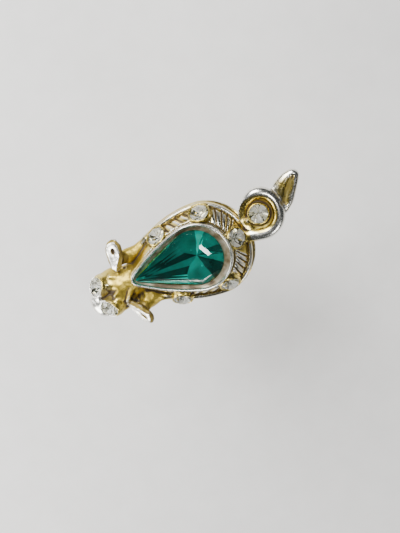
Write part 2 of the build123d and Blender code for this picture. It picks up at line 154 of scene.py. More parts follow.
# each round stone: middle of its girdle, and the way it faces
ROUND_STONES = {
    "right_front": ((-2.5, 3.62, 1.95), outward(105, 50)),
    "left_front": ((-2.5, -4.08, 1.95), outward(-105, 50)),
    "right_rear": ((2.9, 4.35, 2.0), outward(82, 50)),
    "left_rear": ((3.1, -4.25, 2.0), outward(-82, 50)),
    "rear": ((5.75, 0.35, 2.15), outward(3, 40)),
    "tail": (TAIL_STONE, outward(10, 8)),
    "right_eye": ((-10.93, 0.6, 2.1), outward(141, 43)),
    "left_eye": ((-10.35, -2.13, 2.5), outward(-150, 36)),
}

# each ear: foot, tip, the way its front faces, half length and width of its slot
EARS = [
    ((-8.25, 1.3, 1.9), (-6.85, 4.8, 2.65), outward(172, 24), (0.40, 0.25)),
    ((-8.25, -1.95, 2.3), (-6.15, -4.75, 3.3), outward(214, 42), (0.60, 0.17)),
]
EAR_HALF_WIDTH = 1.04
EAR_THICKNESS = 0.52
EAR_FACE = 0.38
EAR_DISH = 0.14

# the curl of the tail: angle round its stone, distance of its middle, tube radius
TAIL_CURL = [
    (-146, 3.4, 0.66), (-134, 2.76, 0.70), (-113, 2.38, 0.70), (-80, 2.30, 0.66),
    (-40, 2.20, 0.66), (0, 2.11, 0.65), (40, 2.20, 0.64), (75, 2.18, 0.66),
    (105, 1.92, 0.58), (135, 1.76, 0.46), (165, 1.80, 0.42),
]
TAIL_Z = 1.1
# the flick of the tail: middle, half width and half thickness of each section
TAIL_TIP = [
    (11.15, 1.35, 0.66, 0.45), (11.7, 2.62, 1.26, 0.58), (12.42, 3.47, 1.16, 0.58),
    (13.15, 4.12, 0.92, 0.52), (13.68, 4.50, 0.62, 0.44), (13.92, 4.64, 0.42, 0.34),
]
TAIL_TIP_Z = 0.85
# the valley down the flick: its middle line and radius
TAIL_VALLEY = [
    (11.95, 2.05, 1.80, 0.66), (12.55, 2.95, 1.78, 0.66),
    (13.15, 3.75, 1.64, 0.50), (13.55, 4.25, 1.46, 0.30),
]
TAIL_TIP_MIDDLE = (12.2, 3.2, TAIL_TIP_Z)
TAIL_TIP_AXES = (outward(41, 90), outward(131, 90), np.array([0, 0, 1.0]))

# --- distance fields ---

# the eight corners of a unit cube
CORNERS = [(i, j, k) for i in (0, 1) for j in (0, 1) for k in (0, 1)]


def smooth_min(a, b, k):
    """Union of two distances, rounded where they meet over a width k."""
    if k <= 0:
        return np.minimum(a, b)
    h = np.maximum(k - np.abs(a - b), 0) / k
    return np.minimum(a, b) - h * h * k / 4


def smooth_max(a, b, k):
    return -smooth_min(-a, -b, k)


def above(value, low, soft):
    """0 below low, rising smoothly to 1 over a width soft."""
    t = np.clip((value - low) / soft, 0, 1)
    return t * t * (3 - 2 * t)


def between(value, low, high, soft):
    """1 where value is between low and high, with soft ends."""
    return above(value, low, soft) * above(-value, -high, soft)


def noise(x, y, z, seed):
    """Smooth noise from -1 to 1, with one bump for each unit of x, y and z."""
    size = 32
    table = np.random.RandomState(seed).uniform(-1, 1, (size, size, size))
    x, y, z = np.broadcast_arrays(x, y, z)
    xi, yi, zi = (np.floor(v).astype(np.int64) for v in (x, y, z))
    xf, yf, zf = x - xi, y - yi, z - zi
    xf, yf, zf = (v * v * (3 - 2 * v) for v in (xf, yf, zf))
    total = 0
    for dx, dy, dz in CORNERS:
        wx = xf if dx else 1 - xf
        wy = yf if dy else 1 - yf
        wz = zf if dz else 1 - zf
        total = total + wx * wy * wz * table[(xi + dx) % size, (yi + dy) % size, (zi + dz) % size]
    return total


def body_distance(x, y, reach, inset=0.0):
    """Distance outside the body's outline: a rear half ellipse and two flank arcs."""
    half = BODY_HALF_WIDTH - inset
    squeeze = half / (reach - inset)
    rear = np.hypot((x - BODY_X) * squeeze, y) - half
    flank = np.hypot(x - BODY_X, np.abs(y) + FLANK_R - BODY_HALF_WIDTH) - (FLANK_R - inset)
    return np.where(x > BODY_X, rear, flank)


def pear_side(outline):
    """Middle of the arc on a pear outline's left side, and the angles at its two ends."""
    rear_x, rear_r, tip_x, tip_r, side_r = outline
    span = rear_x - tip_x
    along = ((side_r - tip_r) ** 2 - (side_r - rear_r) ** 2 - span**2) / (2 * span)
    x, y = rear_x + along, -math.sqrt((side_r - rear_r) ** 2 - along**2)
    return x, y, math.atan2(-y, rear_x - x), math.atan2(-y, tip_x - x)


def pear_distance(x, y, outline):
    """Distance outside a pear outline."""
    rear_x, rear_r, tip_x, tip_r, side_r = outline
    sx, sy, at_rear, at_tip = pear_side(outline)
    y = np.abs(y)
    angle = np.arctan2(y - sy, x - sx)
    rear = np.hypot(x - rear_x, y) - rear_r
    tip = np.hypot(x - tip_x, y) - tip_r
    side = np.hypot(x - sx, y - sy) - side_r
    return np.where(angle < at_rear, rear, np.where(angle > at_tip, tip, side))


def pear_points(outline, count):
    """Points at even steps round a pear outline, counterclockwise from the round end."""
    rear_x, rear_r, tip_x, tip_r, side_r = outline
    sx, sy, at_rear, at_tip = pear_side(outline)
    ends = np.cumsum([rear_r * at_rear, side_r * (at_tip - at_rear), tip_r * (math.pi - at_tip)])
    half = []
    for s in np.linspace(0, ends[-1], count // 2 + 1):
        if s < ends[0]:
            x, y, r, a = rear_x, 0, rear_r, s / rear_r
        elif s < ends[1]:
            x, y, r, a = sx, sy, side_r, at_rear + (s - ends[0]) / side_r
        else:
            x, y, r, a = tip_x, 0, tip_r, at_tip + (s - ends[1]) / tip_r
        half.append((x + r * math.cos(a), y + r * math.sin(a)))
    mirrored = [(x, -y) for x, y in half[1:-1]]
    return np.array(half + mirrored[::-1])


def capsule(x, y, z, a, b, ra, rb):
    """Rod from a to b whose radius goes from ra to rb."""
    ab = np.subtract(b, a)
    px, py, pz = x - a[0], y - a[1], z - a[2]
    t = np.clip((px * ab[0] + py * ab[1] + pz * ab[2]) / float(ab @ ab), 0, 1)
    d = np.sqrt((px - t * ab[0]) ** 2 + (py - t * ab[1]) ** 2 + (pz - t * ab[2]) ** 2)
    return d - (ra + (rb - ra) * t)


def local_axes(direction):
    """Three perpendicular unit vectors, the last along the direction."""
    w = np.asarray(direction, float)
    w = w / np.linalg.norm(w)
    u = np.cross((0, 0, 1), w)
    if np.linalg.norm(u) < 1e-6:
        u = np.array([1.0, 0, 0])
    u = u / np.linalg.norm(u)
    return u, np.cross(w, u), w


UPRIGHT = local_axes((0, 0, 1))


def to_local(x, y, z, middle, axes):
    px, py, pz = x - middle[0], y - middle[1], z - middle[2]
    return [px * a[0] + py * a[1] + pz * a[2] for a in axes]


def ellipsoid(x, y, z, middle, axes, radii):
    q = sum((c / r) ** 2 for c, r in zip(to_local(x, y, z, middle, axes), radii))
    return (np.sqrt(q) - 1) * min(radii)


class Field:
    """Samples of a distance on a grid, to which shapes are added and cut."""

    def __init__(self, low, high, step):
        self.step = step
        self.low = np.array(low, float)
        counts = np.ceil((np.array(high) - self.low) / step).astype(int) + 1
        self.axes = [(self.low[i] + step * np.arange(counts[i])).astype(np.float32) for i in range(3)]
        self.values = np.full(counts, 10.0, np.float32)

    def window(self, low, high):
        spans = []
        for axis, lo, hi in zip(self.axes, low, high):
            start, stop = np.searchsorted(axis, [lo, hi])
            spans.append(slice(max(start - 1, 0), min(stop + 1, len(axis))))
        x, y, z = (axis[s] for axis, s in zip(self.axes, spans))
        return tuple(spans), x[:, None, None], y[None, :, None], z[None, None, :]

    def add(self, shape, low, high, k=0.0):
        spans, x, y, z = self.window(low, high)
        self.values[spans] = smooth_min(self.values[spans], shape(x, y, z), k)

    def cut(self, shape, low, high, k=0.0):
        spans, x, y, z = self.window(low, high)
        self.values[spans] = smooth_max(self.values[spans], -shape(x, y, z), k)

    def push(self, height, low, high):
        """Moves the surface outwards by a height."""
        spans, x, y, z = self.window(low, high)
        self.values[spans] -= height(x, y, z)


def around(points, margin):
    points = np.asarray(points, float)
    return points.min(0) - margin, points.max(0) + margin


def surface_nets(field):
    """Vertices and quads of the field's zero surface."""
    f = field.values
    inside = f < 0
    shape = tuple(n - 1 for n in f.shape)
    filled = np.zeros(shape, np.int8)
    for i, j, k in CORNERS:
        filled += inside[i : i + shape[0], j : j + shape[1], k : k + shape[2]]
    cells = np.argwhere((filled > 0) & (filled < 8))
    index = np.full(shape, -1, np.int64)
    index[tuple(cells.T)] = np.arange(len(cells))
    total = np.zeros((len(cells), 3))
    count = np.zeros(len(cells))
    for start in CORNERS:
        for axis in range(3):
            if start[axis]:
                continue
            end = list(start)
            end[axis] = 1
            va, vb = (f[tuple((cells + place).T)].astype(float) for place in (start, end))
            crossed = (va < 0) != (vb < 0)
            place = np.tile(np.array(start, float), (len(cells), 1))
            place[:, axis] += np.where(crossed, va / np.where(va == vb, 1, va - vb), 0)
            total[crossed] += place[crossed]
            count += crossed
    points = field.low + field.step * (cells + total / count[:, None])
    quads = []
    for axis in range(3):
        u, v = (axis + 1) % 3, (axis + 2) % 3
        edges = np.argwhere(np.diff(inside, axis=axis))
        keep = (edges[:, u] > 0) & (edges[:, v] > 0)
        keep &= (edges[:, u] < shape[u]) & (edges[:, v] < shape[v])
        edges = edges[keep]
        corners = []
        for du, dv in ((-1, -1), (0, -1), (0, 0), (-1, 0)):
            cell = edges.copy()
            cell[:, u] += du
            cell[:, v] += dv
            corners.append(index[tuple(cell.T)])
        quad = np.stack(corners, 1)
        flip = ~inside[tuple(edges.T)]
        quad[flip] = quad[flip][:, ::-1]
        quads.append(quad)
    return points, np.concatenate(quads)


# --- facets of the stones ---

# finishes of a stone's facets: the clear front, and the foiled back in three copies that paint shade, half
# light and light onto its facets
GLASS, SHADED_FOIL, HALF_LIT_FOIL, LIT_FOIL = range(4)
ROUND_SIDES = 8
# a round stone's back facets take painted light, shade and half light in turn
ROUND_TONES = (LIT_FOIL, SHADED_FOIL, HALF_LIT_FOIL)


def level(azimuth):
    """Unit vector in the XY plane, at an azimuth in degrees."""
    return math.cos(math.radians(azimuth)), math.sin(math.radians(azimuth))


def leaning(way, slope, up=1):
    """Unit normal at a slope from straight up, or down, towards a level unit vector."""
    return (way[0] * math.sin(slope), way[1] * math.sin(slope), up * math.cos(slope))


def room_to_outline(place):
    return -float(pear_distance(place[0], place[1], STONE_OUTLINE))


def pear_crown():
    """The table, a main and a star facet along each of its sides, and those at its corners."""
    girdle_top = GIRDLE_Z + GIRDLE_THICKNESS
    table_z = girdle_top + CROWN
    planes = [((0, 0, table_z), (0, 0, 1), GLASS)]
    table = [np.array(c) for c in PEAR_TABLE]
    middle = np.array([STONE_OUTLINE[0] - 1.0, 0])
    for a, b in zip(table, table[1:] + table[:1]):
        edge = b - a
        out = np.array([edge[1], -edge[0]]) / np.linalg.norm(edge)
        if out @ (a - middle) < 0:
            out = -out
        mid = (a + b) / 2
        slope = math.atan2(CROWN - PEAR_FACET_FOOT, room_to_outline(mid))
        planes.append(((mid[0], mid[1], table_z), leaning(out, slope), GLASS))
        inside = mid - out * STAR_INSET
        planes.append(((inside[0], inside[1], table_z), leaning(out, slope * STAR_SLOPE), GLASS))
    # a steeper facet at each corner but the one at the tip, down to the girdle
    for corner in table[1:]:
        out = corner - middle
        if corner[0] == SHOULDER_X:
            out = np.array([-0.35, np.sign(corner[1])])
        out = out / np.linalg.norm(out)
        room = room_to_outline(corner)
        slope = math.atan2(CROWN, room) + PEAR_CORNER_STEEPER
        foot = corner + out * room
        planes.append(((foot[0], foot[1], girdle_top + CORNER_FOOT), leaning(out, slope), GLASS))
    return planes


# the pear's back: the angles round the culet's half circle at which the long facets
# from the tip meet, and the painted shade or light of the facets on each side
BACK_ANGLES = (0, 20, 42, 66, 90)
BACK_TONES = {1: (SHADED_FOIL, HALF_LIT_FOIL, HALF_LIT_FOIL, LIT_FOIL), -1: (HALF_LIT_FOIL, SHADED_FOIL, LIT_FOIL, LIT_FOIL)}
# the half circle is a little pinched, flattened and set back
ARC_PINCH = 1.15
ARC_FLATTEN = 0.9
ARC_SETBACK = 0.4
# the wedges round the culet: azimuth of the first, their spacing and their painted shade or light
WEDGE_FIRST = -80
WEDGE_PITCH = 20
WEDGE_TONES = (HALF_LIT_FOIL, SHADED_FOIL, SHADED_FOIL, HALF_LIT_FOIL, SHADED_FOIL, HALF_LIT_FOIL, HALF_LIT_FOIL, LIT_FOIL, HALF_LIT_FOIL)


def pear_back():
    """A fan of long facets from the tip, and wedges round the culet."""
    planes = []
    apex = np.array([STONE_OUTLINE[2] - STONE_OUTLINE[3], 0, GIRDLE_Z - 0.02])
    culet = np.array([STONE_OUTLINE[0], 0, GIRDLE_Z - PAVILION])
    radius = STONE_OUTLINE[1]
    for side, tones in BACK_TONES.items():
        arc = []
        for a in BACK_ANGLES:
            t = math.radians(a)
            y = side * radius * math.sin(t) ** ARC_PINCH
            z = GIRDLE_Z - PAVILION * math.cos(t) ** ARC_FLATTEN
            arc.append(np.array([culet[0] - ARC_SETBACK * math.sin(t), y, z]))
        for p, q, tone in zip(arc[:-1], arc[1:], tones):
            normal = np.cross(p - apex, q - apex)
            normal = normal if normal[2] < 0 else -normal
            planes.append((tuple(apex), tuple(normal / np.linalg.norm(normal)), tone))
    depth = math.atan2(PAVILION, radius * math.cos(math.radians(WEDGE_PITCH / 2)))
    for i, tone in enumerate(WEDGE_TONES):
        planes.append((tuple(culet), leaning(level(WEDGE_FIRST + WEDGE_PITCH * i), depth, -1), tone))
    return planes


def round_planes():
    """The facets of a round stone, about the middle of its girdle."""
    planes = [((0, 0, ROUND_CROWN), (0, 0, 1), GLASS)]
    slope = math.atan2(ROUND_CROWN - ROUND_FACET_FOOT, ROUND_R - ROUND_TABLE_R)
    depth = math.atan2(ROUND_PAVILION, ROUND_R)
    side = 360 / ROUND_SIDES
    touch = ROUND_TABLE_R * math.cos(math.radians(side / 2))
    for i in range(ROUND_SIDES):
        main = level(side * i + side / 2)
        corner = level(side * i)
        planes.append(((touch * main[0], touch * main[1], ROUND_CROWN), leaning(main, slope), GLASS))
        foot = (ROUND_R * corner[0], ROUND_R * corner[1], CORNER_FOOT)
        planes.append((foot, leaning(corner, slope + ROUND_CORNER_STEEPER), GLASS))
        planes.append(((0, 0, -ROUND_PAVILION), leaning(main, depth, -1), ROUND_TONES[i % 3]))
    return planes


# --- the cast mouse ---


def skirt_share(x, y):
    """0 at the collar's foot, 1 at the border's inner edge."""
    from_collar = np.maximum(pear_distance(x, y, COLLAR_OUTLINE), 0)
    from_border = np.maximum(-body_distance(x, y, BORDER_REACH, BORDER_STEP) - BORDER_WIDTH, 0)
    return from_collar / (from_collar + from_border + 1e-4)


# the fan of flutes behind the rear stones: the point that they run to, in x and
# distance from the middle, the angle of the first, the last and their spacing
FAN_X = 3.9
FAN_Y = -1.5
FAN_FROM = 58.5
FAN_TO = 90.0
FAN_FIRST = 66.3
FAN_PITCH = 7.0
FAN_HEIGHT = 0.25
# the darts on the flanks: the way they run, where they start and end, the first
# of them and their spacing
DART_AZIMUTH = math.radians(-28)
DART_FROM = -1.8
DART_TO = 2.0
DART_FIRST = 3.06
DART_PITCH = 0.62
DART_HEIGHT = 0.32
# the share of the pitch over which a dart rises, and the drop as a share of the rise
DART_RISE = 0.78
DART_DROP = 0.282


def flute_height(x, y, share):
    """Height that the flutes and darts add to the skirt."""
    side = np.abs(y)
    # round-topped bars with narrow grooves between them
    angle = np.degrees(np.arctan2(side - FAN_Y, x - FAN_X))
    wave = np.abs(np.cos(math.pi * (angle - FAN_FIRST) / FAN_PITCH))
    bar = np.clip((wave - 0.28) / 0.4, 0, 1)
    fan = FAN_HEIGHT * (bar * (2 - bar) - 0.62)
    fan = fan * between(angle, FAN_FROM, FAN_TO, 1.8) * between(share, 0.10, 0.99, 0.10)
    # leaves that rise over most of their pitch and then drop
    across = -x * math.sin(DART_AZIMUTH) + side * math.cos(DART_AZIMUTH)
    phase = (across - DART_FIRST) / DART_PITCH + 0.62
    saw = (phase - np.floor(phase)) / DART_RISE
    leaf = np.where(saw < 1, saw, (1 - (saw - 1) / DART_DROP)) - 0.55
    dart = DART_HEIGHT * leaf * between(x, DART_FROM, DART_TO, 0.25) * between(share, 0.12, 0.97, 0.16)
    return fan + dart


def body_shape(x, y, z):
    foot = smooth_max(body_distance(x, y, FOOT_REACH), z - FOOT_HEIGHT, 0.08)
    outline = body_distance(x, y, BORDER_REACH, BORDER_STEP)
    inset = -outline
    share = skirt_share(x, y)
    bead = BORDER_Z + BEAD_R * np.sqrt(np.clip(1 - ((inset - BEAD_R) / BEAD_R) ** 2, 0, 1))
    dome = SKIRT_CREST - (SKIRT_CREST - SKIRT_LOW) * share**SKIRT_BOW
    dome = dome - SEAM_DEPTH * between(share, 0.0, 0.13, 0.05) + flute_height(x, y, share)
    top = np.where(inset < 2 * BEAD_R, bead, dome)
    upper = smooth_max((z - top) * 0.75, outline, 0.06)
    return smooth_min(foot, upper, 0.05)


def back_hollow(x, y, z):
    """The hollow in the back, round the boss that carries the pad."""
    wall = body_distance(x, y, BORDER_REACH, BORDER_STEP) + BACK_WALL
    pit = smooth_max(wall, z - BACK_DEPTH, 0.25)
    ring = smooth_max(pit, BOSS_R - np.hypot(x, y), 0.15)
    return np.minimum(ring, np.maximum(pit, z - BOSS_Z))


def smooth_path(keys, count):
    """Points along a curve through the keys, Catmull-Rom."""
    keys = np.array(keys, float)
    padded = np.vstack([2 * keys[0] - keys[1], keys, 2 * keys[-1] - keys[-2]])
    out = []
    for t in np.linspace(0, len(keys) - 1.0001, count):
        i = int(t)
        u = t - i
        p0, p1, p2, p3 = padded[i : i + 4]
        bend = (2 * p0 - 5 * p1 + 4 * p2 - p3) * u**2 + (3 * p1 - p0 - 3 * p2 + p3) * u**3
        out.append(0.5 * (2 * p1 + (p2 - p0) * u + bend))
    return np.array(out)


def add_rod(field, places, radii, k):
    """A rod through places, with a radius at each."""
    places = np.array(places, float)
    for a, b, ra, rb in zip(places[:-1], places[1:], radii[:-1], radii[1:]):
        low, high = around([a, b], max(ra, rb) + k + 0.1)
        field.add(lambda x, y, z: capsule(x, y, z, a, b, ra, rb), low, high, k)


def blob(middle, axes, radii, k):
    """An ellipsoid, as what a field's add or cut needs."""
    low, high = around([middle], max(radii) + k + 0.1)
    return lambda x, y, z: ellipsoid(x, y, z, middle, axes, radii), low, high, k


def add_head(field):
    add_rod(field, [(-5.2, 0, 0.85), on_head(0.4, 0, -0.7)], [1.75, 1.9], 0.5)
    field.add(*blob(on_head(0.6, 0, -0.45), HEAD_AXES, (2.45, 2.5, 1.65), 0.5))
    field.add(*blob(on_head(2.65, -0.4, -0.5), HEAD_AXES, (1.45, 1.8, 1.15), 0.5))
    # the sockets of the eyes
    for name in ("right_eye", "left_eye"):
        middle, facing = ROUND_STONES[name]
        field.add(*blob(middle - 0.55 * facing, local_axes(facing), (1.42, 1.42, 0.85), 0.3))
    # the shoulders that run from the border out to the ears
    right = [(-3.9, 3.45, 0.75), (-5.1, 2.75, 0.85), (-6.2, 2.6, 1.1), (-7.2, 2.6, 1.6)]
    left = [(-3.9, -3.45, 0.75), (-5.0, -3.05, 0.85), (-6.0, -3.1, 1.15), (-6.7, -3.3, 1.9)]
    for places in (right, left):
        add_rod(field, places, [0.34, 0.42, 0.6, 0.7], 0.6)
    # the web that fills the corner behind the left ear
    field.add(*blob((-6.1, -2.5, 0.7), UPRIGHT, (1.5, 1.3, 1.15), 0.4))
    # the hollow face between the eyes
    field.cut(*blob(on_head(1.45, -0.15, 1.75), HEAD_AXES, (1.4, 0.9, 1.0), 0.35))
    # the ridges that fan out from the collar's tip over the neck
    tip = np.array([-6.5, 0, 2.2])
    for forward, right, up in ((0.2, 1.5, 0.85), (0.9, 0.5, 0.95), (0.6, -0.6, 1.0), (-0.4, -1.7, 1.05)):
        add_rod(field, [tip, on_head(forward, right, up)], [0.32, 0.2], 0.25)


def ear_frame(foot, tip, facing):
    """Middle, half length and axes of an ear: along, across and forwards."""
    foot, tip = np.array(foot), np.array(tip)
    along = tip - foot
    length = np.linalg.norm(along)
    along = along / length
    front = facing - along * (facing @ along)
    front = front / np.linalg.norm(front)
    return foot + along * length * 0.55, length / 2 + 0.1, (along, np.cross(front, along), front)


def ear_face_width(along, half):
    """Half the width of the flat face of an ear, which narrows towards the foot."""
    return EAR_HALF_WIDTH * np.clip(0.66 + 0.62 * along / half, 0.05, 0.86)


def add_ear(field, foot, tip, facing, slot):
    """A petal with a flat, slightly dished front, pointed at its foot."""
    middle, half, axes = ear_frame(foot, tip, facing)
    low, high = around([middle - axes[0] * half, middle + axes[0] * half], 1.2)

    def ear(x, y, z):
        u, v, w = to_local(x, y, z, middle, axes)
        wide = EAR_HALF_WIDTH * (1 + 0.2 * np.clip(u / half, -1, 1))
        level_out = (u / half) ** 2 + (v / wide) ** 2
        q = np.sqrt(level_out + (w / EAR_THICKNESS) ** 2)
        dish = EAR_DISH * np.clip(1 - np.sqrt(level_out) / 0.8, 0, 1)
        face = w - EAR_FACE + dish
        face = face + 0.7 * np.maximum(np.abs(v) - ear_face_width(u, half), 0)
        return smooth_max((q - 1) * 0.6, face, 0.06)

    field.add(ear, low, high, 0.22)
    pit = middle + axes[0] * 0.3 * half + axes[2] * (EAR_FACE - 0.12)
    field.cut(*blob(pit, axes, (*slot, 0.25), 0.05))


def add_tail(field):
    places = []
    radii = []
    for angle, distance, radius in smooth_path(TAIL_CURL, 60):
        a = math.radians(angle)
        x, y = TAIL_STONE[0] + distance * math.cos(a), TAIL_STONE[1] + distance * math.sin(a)
        places.append((x, y, TAIL_Z))
        radii.append(radius)
    add_rod(field, places, radii, 0.05)

    # inside the curl, a slope down to the stone's cup
    def slope(x, y, z):
        r = np.hypot(x - TAIL_STONE[0], y - TAIL_STONE[1])
        top = CUP_R + 0.42 * (r - CUP_R)
        return smooth_max(smooth_max(r - 2.2, (z - top) * 0.9, 0.1), 0.45 - z, 0.2)

    field.add(slope, (6, -1, 0), (11.6, 4.9, 2.5), 0.12)
    for x0, y0, wide, thick in smooth_path(TAIL_TIP, 70):
        field.add(*blob((x0, y0, TAIL_TIP_Z), TAIL_TIP_AXES, (wide * 0.55, wide, thick), 0.08))
    keys = smooth_path(TAIL_VALLEY, 24)

    def valley(x, y, z):
        deep = 10.0
        for a, b in zip(keys[:-1], keys[1:]):
            deep = np.minimum(deep, capsule(x, y, z, a[:3], b[:3], a[3], b[3]))
        return deep

    field.cut(valley, *around(keys[:, :3], 0.9), 0.18)
    # a small bead beside the stone, and the mass that joins the curl to the body
    field.add(*blob((7.5, 1.55, 1.5), UPRIGHT, (0.36, 0.36, 0.3), 0.15))
    add_rod(field, [(7.0, 1.6, 1.0), (7.4, 0.3, 0.95)], [0.45, 0.45], 0.3)


def add_cup(field, middle, facing):
    axes = local_axes(facing)

    def outside(x, y, z):
        u, v, w = to_local(x, y, z, middle, axes)
        r = np.hypot(u, v)
        return smooth_max(r - (CUP_R - 0.1 * w), np.abs(w + CUP_LOW) - CUP_HALF_HEIGHT, 0.16)

    field.add(outside, *around([middle], CUP_REACH), 0.1)


def cut_pocket(field, middle, facing):
    """The seat of a round stone: a tube with a cone under it, with a little room."""
    axes = local_axes(facing)

    def pocket(x, y, z):
        u, v, w = to_local(x, y, z, middle, axes)
        r = np.hypot(u, v)
        tube = np.maximum(r - ROUND_R - POCKET_ROOM, -w - POCKET_LOW)
        cone = (r - ROUND_R - POCKET_ROOM - 1.1 * (w + POCKET_LOW)) * 0.67
        return np.minimum(tube, np.maximum(cone, w + POCKET_LOW))

    field.cut(pocket, *around([middle], CUP_REACH), 0.03)


def pear_pocket(x, y, z):
    """The pocket under the pear stone, its back facets with a little room."""
    pocket = pear_distance(x, y, STONE_OUTLINE)
    for point, normal, _ in pear_back():
        plane = (x - point[0]) * normal[0] + (y - point[1]) * normal[1] + (z - point[2]) * normal[2]
        pocket = np.maximum(pocket, plane)
    return pocket - SEAT_ROOM


FUR_X = -5.6
FUR_HEIGHT = 0.055
GRAIN_HEIGHT = 0.004


def roughen(x, y, z):
    """The coarse chased fur on the neck, and a faint unevenness everywhere."""
    neck = between(x, -9.6, -4.4, 1.2) * between(z, 0.5, 5.0, 0.5)
    neck = neck * np.clip(pear_distance(x, y, COLLAR_OUTLINE) / 0.3, 0, 1)
    # the fur runs out from a point under the collar's tip
    angle = np.arctan2(y, x - FUR_X)
    fur = noise(angle * 5, np.hypot(x - FUR_X, y) * 0.8, z * 0.6, 5)
    grain = noise(x * 2.6, y * 2.6, z * 2.6, 7)
    return FUR_HEIGHT * neck * (fur + 0.6 * grain) + GRAIN_HEIGHT * grain


def cast_mouse():
    """The distance field of the whole casting."""
    field = Field((-12.8, -5.9, -0.25), (14.8, 6.0, 4.75), VOXEL)
    everywhere = ((-20, -20, -5), (20, 20, 9))
    field.add(body_shape, *everywhere)
    add_head(field)
    add_tail(field)
    for ear in EARS:
        add_ear(field, *ear)
    field.push(roughen, *everywhere)
    for stone in ROUND_STONES.values():
        add_cup(field, *stone)
    for stone in ROUND_STONES.values():
        cut_pocket(field, *stone)
    # the seat under the collar, and the pocket under the pear stone
    field.cut(
        lambda x, y, z: np.maximum(pear_distance(x, y, COLLAR_OUTLINE) - 0.02, SKIRT_TOP - z),
        *everywhere,
    )
    field.cut(pear_pocket, (-6.5, -3.5, 0.4), (4.5, 3.5, 5))
    field.cut(back_hollow, *everywhere)
    # all that lies under the flat back
    field.cut(lambda x, y, z: z, *everywhere, 0.05)
    return field


# --- meshes ---


def add_piece(mesh, name, body, replaces):
    """Puts a mesh in the scene, riding a body and replacing a CAD node."""
    obj = bpy.data.objects.new(name, mesh)
    bpy.context.scene.collection.objects.link(obj)
    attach(obj, body)
    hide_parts(replaces)
    return obj


def smooth_piece(name, points, faces, body, slot, replaces):
    mesh = bpy.data.meshes.new(name)
    mesh.from_pydata((np.asarray(points) * MM).tolist(), [], [list(f) for f in faces])
    mesh.validate()
    mesh.shade_smooth()
    return add_piece(mesh, name, body, replaces)


def paint(obj, name, values):
    """Stores a number from 0 to 1 at each vertex, for the material to read."""
    attribute = obj.data.attributes.new(name, "FLOAT", "POINT")
    attribute.data.foreach_set("value", np.clip(values, 0, 1).astype(np.float32))


def relief(points, quads, rounds):
    """How far each vertex stands proud of the surface smoothed round it, and its normal."""
    pairs = np.concatenate([quads[:, [i, (i + 1) % 4]] for i in range(4)])
    pairs = np.concatenate([pairs, pairs[:, ::-1]])
    weight = np.bincount(pairs[:, 0], minlength=len(points))
    normal = np.zeros_like(points)
    corners = points[quads]
    cross = np.cross(corners[:, 2] - corners[:, 0], corners[:, 3] - corners[:, 1])
    for i in range(4):
        for c in range(3):
            normal[:, c] += np.bincount(quads[:, i], cross[:, c], len(points))
    normal /= np.linalg.norm(normal, axis=1)[:, None] + 1e-12
    smooth = points.copy()
    for _ in range(rounds):
        sums = [np.bincount(pairs[:, 0], smooth[pairs[:, 1], c], len(points)) for c in range(3)]
        smooth = np.stack(sums, 1) / weight[:, None]
    return ((points - smooth) * normal).sum(1), normal


def ring_mesh(rings):
    """Vertices and quads of closed rings of points joined into a closed tube."""
    rings = np.asarray(rings)
    count, size = rings.shape[:2]
    faces = []
    for i in range(count):
        for j in range(size):
            here, after = i * size, (i + 1) % count * size
            beside = (j + 1) % size
            faces.append((after + j, after + beside, here + beside, here + j))
    return rings.reshape(-1, 3), faces


def rounded(corners, radius):
    """A closed outline with each corner rounded by a few points."""
    corners = [np.array(c, float) for c in corners]
    out = []
    for i, corner in enumerate(corners):
        sides = [other - corner for other in (corners[i - 1], corners[(i + 1) % len(corners)])]
        lengths = [np.linalg.norm(side) for side in sides]
        reach = min(radius, 0.45 * min(lengths))
        a, b = (corner + side / length * reach for side, length in zip(sides, lengths))
        for t in (0, 0.25, 0.5, 0.75, 1):
            out.append((1 - t) ** 2 * a + 2 * t * (1 - t) * corner + t**2 * b)
    return out


def lathe(name, outline, body, slot, replaces, turns=96, shape=None):
    """A ring turned from a closed outline of radius and height."""
    rings = []
    for i in range(turns):
        angle = 2 * math.pi * i / turns
        ring = []
        for r, z in outline:
            if shape:
                r = r - shape(angle, r, z)
            ring.append((r * math.cos(angle), r * math.sin(angle), z))
        rings.append(ring)
    return smooth_piece(name, *ring_mesh(rings), body, slot, replaces)


def cut_gem(name, outline, low, high, planes, place, replaces):
    """A stone: a slab with an outline, cut by planes: a point, a normal and a finish, the clear glass or
    the foil with painted shade or light.
    """
    bm = bmesh.new()
    bottom = [bm.verts.new((x, y, low)) for x, y in outline]
    top = [bm.verts.new((x, y, high)) for x, y in outline]
    bm.faces.new(bottom[::-1])
    bm.faces.new(top)
    for i in range(len(outline)):
        j = (i + 1) % len(outline)
        bm.faces.new((bottom[i], bottom[j], top[j], top[i]))
    for point, normal, _ in planes:
        everything = bm.verts[:] + bm.edges[:] + bm.faces[:]
        bmesh.ops.bisect_plane(
            bm, geom=everything, dist=1e-5, plane_co=point, plane_no=normal, clear_outer=True
        )
        rim = [e for e in bm.edges if len(e.link_faces) == 1]
        if rim:
            bmesh.ops.holes_fill(bm, edges=rim, sides=0)
    bmesh.ops.remove_doubles(bm, verts=bm.verts, dist=1e-4)
    bmesh.ops.recalc_face_normals(bm, faces=bm.faces)
    for face in bm.faces:
        girdle = abs(face.normal.z) < 0.02
        nearest = max(planes, key=lambda plane: face.normal @ Vector(plane[1]).normalized())
        face.material_index = GLASS if girdle else nearest[2]
        face.smooth = girdle
    bm.transform(place)
    bmesh.ops.scale(bm, vec=(MM, MM, MM), verts=bm.verts)
    mesh = bpy.data.meshes.new(name)
    bm.to_mesh(mesh)
    bm.free()
    return add_piece(mesh, name, "tack", replaces)


# --- materials ---


